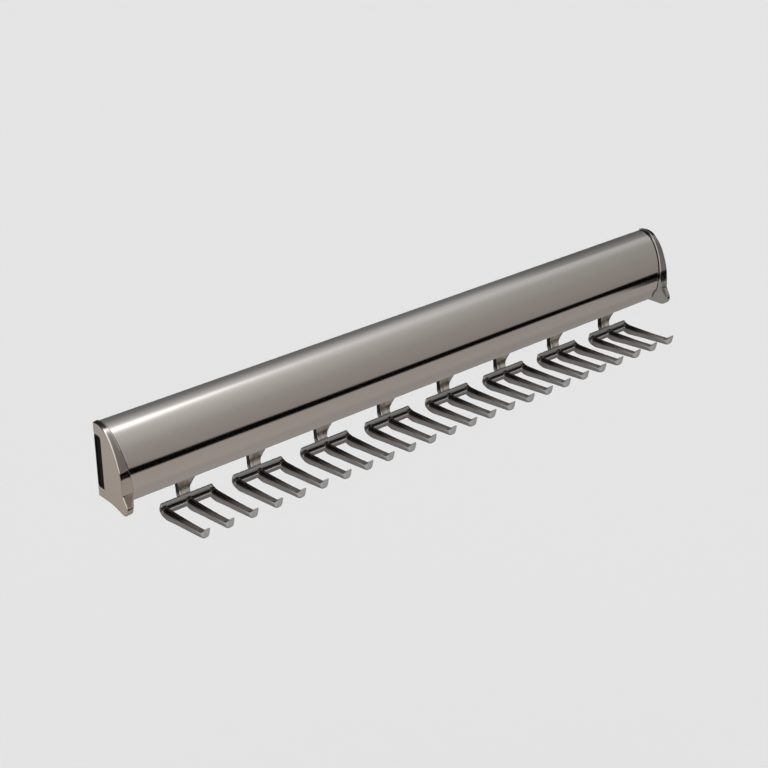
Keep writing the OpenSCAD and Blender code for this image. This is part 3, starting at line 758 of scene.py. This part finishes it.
# ------------------------------------------------------------------ hooks
PRONG = [((-11.75, -28.1), (-11.5, -29.1)), ((-12.0, -27.8), (-11.3, -29.75)), ((-12.5, -27.9), (-11.28, -30.5)),
         ((-13.2, -28.12), (-11.9, -31.5)), ((-14.2, -28.38), (-13.15, -32.3)), ((-15.6, -28.54), (-15.2, -32.85)),
         ((-17.5, -28.54), (-17.4, -33.02)), ((-20.0, -28.5), (-20.0, -32.75)), ((-24.0, -28.4), (-24.0, -32.25)),
         ((-28.5, -28.25), (-28.5, -31.8)), ((-33.0, -28.1), (-33.0, -31.4)), ((-37.5, -27.85), (-37.7, -30.9)),
         ((-40.8, -27.6), (-41.4, -30.55)), ((-42.4, -27.45), (-43.4, -30.5)), ((-43.4, -27.15), (-44.7, -30.2)),
         ((-44.1, -26.7), (-45.5, -29.6)), ((-44.75, -26.1), (-46.0, -28.75)), ((-45.35, -25.5), (-46.3, -27.6)),
         ((-45.8, -25.05), (-46.45, -26.4)), ((-46.1, -24.85), (-46.5, -25.5))]


def bar_ring(x0, x1, t, b, r_top, r_bot, n=4):
    """Rounded rectangle across X, between the points t and b of the side view; r_top is (left, right)."""
    t, b = np.array(t), np.array(b)
    h = np.linalg.norm(t - b)
    v = (t - b) / h
    w = x1 - x0
    lim = min(h * 0.45, w * 0.45)
    rl, rr, rb = min(r_top[0], lim), min(r_top[1], lim), min(r_bot, lim)
    flat = rounded([(0, 0), (w, 0), (w, h), (0, h)], [rb, rb, rr, rl], n)
    return [(x0 + p, b[0] + v[0] * q, b[1] + v[1] * q) for p, q in flat]


def hook_mesh():
    tops = catmull([p[0] for p in PRONG], 3)
    bots = catmull([p[1] for p in PRONG], 3)
    parts = []
    w = PRONG_W
    for i in (-1, 0, 1):
        c = i * (HOOK_W - w) / 2
        rings = []
        for t, b in zip(tops, bots):
            left = float(np.interp(-t[0], [11.5, 13.5, 22, 32, 44, 46], [0.5, 1.5, 1.4, 0.6, 0.6, 0.9]))
            right = float(np.interp(-t[0], [12, 44, 46], [0.45, 0.5, 0.9]))
            low = float(np.interp(-b[0], [41, 44.5], [0.6, 1.05]))
            rings.append(bar_ring(c - w / 2, c + w / 2, t, b, (left, right), low, 6))
        # rounded tip and heel
        def shrink(ring, f):
            m = np.mean(np.array(ring), axis=0)
            return [tuple(m + (np.array(q) - m) * f) for q in ring]
        tip = [tuple(np.array(q) + (0, -0.01, 0.06)) for q in shrink(rings[-1], 0.72)]
        heel = [tuple(np.array(q) + (0, 0.08, 0.04)) for q in shrink(rings[0], 0.72)]
        parts.append(tidy(make_object("prong", *loft([heel] + rings + [tip]))))
    # rounded bar along the back, full at its ends
    bar = np.array([(-11.3, -30.3), (-11.28, -29.0), (-11.29, -27.8), (-11.34, -27.15), (-11.45, -26.8), (-11.62, -26.66),
                    (-11.84, -26.78), (-12.02, -26.98), (-12.2, -27.22), (-12.46, -27.62), (-12.66, -28.03), (-12.78, -28.38),
                    (-12.87, -28.8), (-12.94, -29.2), (-13.0, -29.6), (-13.0, -30.1), (-12.85, -30.6), (-12.4, -30.9),
                    (-11.8, -30.8), (-11.42, -30.6)])
    mid = bar.mean(axis=0)
    hx = HOOK_W / 2 - 0.03
    prof = [(0.0, 0.3), (0.1, 0.52), (0.3, 0.74), (0.65, 0.9), (1.1, 1.0)]
    rings = [[(-hx + x, y, z) for y, z in mid + (bar - mid) * i] for x, i in prof]
    rings += [[(hx - x, y, z) for y, z in mid + (bar - mid) * i] for x, i in prof[::-1]]
    parts.append(tidy(make_object("crossbar", *loft(rings))))
    # ledge between the prongs
    parts.append(rounded_box("ledge", (-13.2, -13.98, -31.95), (13.2, -12.2, -29.65), 0.28, 3))
    # waisted stem, its front face a little hollow
    rings = []
    for z in np.linspace(-18.5, -28.9, 34):
        u = (-18 - z) / 10
        h = 3 + 2.6 * (max(0.65 - u, 0) / 0.65) ** 2 + 0.45 * (max(u - 0.65, 0) / 0.35) ** 2
        y = float(np.interp(-z, [18.5, 20.0, 21.5, 23.0, 24.5, 26.0, 27.5, 28.9],
                            [-11.6, -10.6, -10.0, -9.85, -10.1, -10.75, -11.6, -12.2]))
        k = 0.3 * min(1.0, abs(z + 23.6) / 3.0)
        flare = (max(0.65 - u, 0) / 0.65) ** 2
        hl = h - 0.6 * flare
        hr = float(np.interp(-z, [18.5, 21.36, 22.7, 23.15, 23.57, 23.95, 24.38, 24.79, 25.2, 25.65, 26.08, 27.5, 28.9],
                             [6.5, 6.25, 5.07, 4.74, 4.41, 3.95, 3.62, 3.36, 3.13, 3.02, 2.85, 2.85, 3.0]))
        rear = float(np.interp(-z, [18.5, 20.0, 21.5, 23.0, 26.4, 27.25, 28.0, 28.9],
                               [-8.8, -7.8, -7.2, -7.05, -7.1, -7.35, -7.9, -8.9]))
        flat = rounded([(-hl, y), (hr, y), (hr - k, rear), (-hl + k, rear)], [0.3, 0.3, 0.3, 0.3], 4)
        ring = []
        for px, py in flat:
            dish = 0.32 * max(0.0, 1 - (px / (h * 0.8)) ** 2) if py < y + 0.05 else 0.0
            ring.append((px, py + dish, z))
        # the front edge needs points between its corners to be hollow
        i = next(k for k in range(len(ring)) if flat[k][1] < y + 1e-6 and flat[(k + 1) % len(flat)][1] < y + 1e-6
                 and abs(flat[(k + 1) % len(flat)][0] - flat[k][0]) > h)
        mid = []
        for q in np.linspace(0, 1, 9)[1:-1]:
            px = flat[i][0] + (flat[(i + 1) % len(flat)][0] - flat[i][0]) * q
            mid.append((px, y + 0.32 * max(0.0, 1 - (px / (h * 0.8)) ** 2), z))
        ring = ring[:i + 1] + mid + ring[i + 1:]
        rings.append(ring)
    parts.append(tidy(make_object("stem", *loft(rings))))
    parts.append(rounded_box("neck", (-4.9, -11.1, -18.8), (4.9, -8.5, -16.5), 0.25, 2))
    parts.append(rounded_box("foot", (-4.9, -13.5, -16.9), (4.9, -6.1, -15.1), 0.35, 2))
    ob = parts[0]
    for p in parts[1:]:
        boolean(ob, p, "UNION")
    tidy(ob, 38, 0.004)
    return ob


def build_hooks():
    base = hook_mesh()
    for k in range(1, 9):
        me = base.data.copy()
        me.transform(Matrix.Translation(((k - 4.5) * PITCH * MM, 0, 0)))
        ob = bpy.data.objects.new(f"hook_unit_{k}", me)
        scene.collection.objects.link(ob)
        weighted(ob)
        finish_with(ob, "hook", "carriage", "hook", f"tie_hook_{k}")
        ob.visible_glossy = False
    bpy.data.objects.remove(base)


# ------------------------------------------------------------------ slide
def dress_slide():
    nodes = frame["nodes"]
    dress = {"cabinet_rail": "rail", "intermediate_rail": "rail", "inner_rail": "rail",
             "outer_ball_cage": "cage", "inner_ball_cage": "cage", "outer_balls": "ball", "inner_balls": "ball",
             "rear_bumper": "bumper", "intermediate_bumper": "bumper",
             "inner_rail_screws": "screw", "front_cap_screws": "screw", "rear_cap_screws": "screw"}
    for n, m in dress.items():
        ob = nodes[n]
        ob.data.materials.clear()
        ob.data.materials.append(MAT[m])
        if m in ("rail", "bumper"):
            b = ob.modifiers.new("edge", "BEVEL")
            b.width, b.segments, b.limit_method, b.angle_limit = 0.12 * MM, 2, "ANGLE", math.radians(50)
            b.harden_normals = False


def build_floor():
    me = bpy.data.meshes.new("floor")
    s, z = 9.0, -0.62
    me.from_pydata([(-s, -s, z), (s, -s, z), (s, s, z), (-s, s, z)], [], [(0, 1, 2, 3)])
    ob = bpy.data.objects.new("floor", me)
    scene.collection.objects.link(ob)
    m = bpy.data.materials.new("pale_floor")
    m.use_nodes = True
    t = m.node_tree
    t.nodes.clear()
    g = Net(t)
    d = g.add("ShaderNodeBsdfDiffuse")
    v = noise(g, coords(g, (1, 1, 1)), 3.0, 2.0)
    mix = g.add("ShaderNodeMix", data_type="RGBA")
    g.put(mix.inputs["Factor"], v)
    mix.inputs["A"].default_value = (0.783, 0.736, 0.713, 1)
    mix.inputs["B"].default_value = (0.787, 0.740, 0.717, 1)
    t.links.new(mix.outputs["Result"], d.inputs["Color"])
    out = g.add("ShaderNodeOutputMaterial")
    t.links.new(d.outputs[0], out.inputs["Surface"])
    ob.data.materials.append(m)
    ob.visible_glossy = False


scene.view_settings.view_transform = "Standard"
scene.view_settings.look = "None"
build_camera()
build_world()
build_floor()
build_housing()
build_cap("front_cap_shell", 5.7, 0.0, -1, "front_end_cap")
build_cap("rear_cap_shell", 9.3, REAR_EXTRA, 1, "rear_end_cap")
build_plug()
build_hooks()
dress_slide()
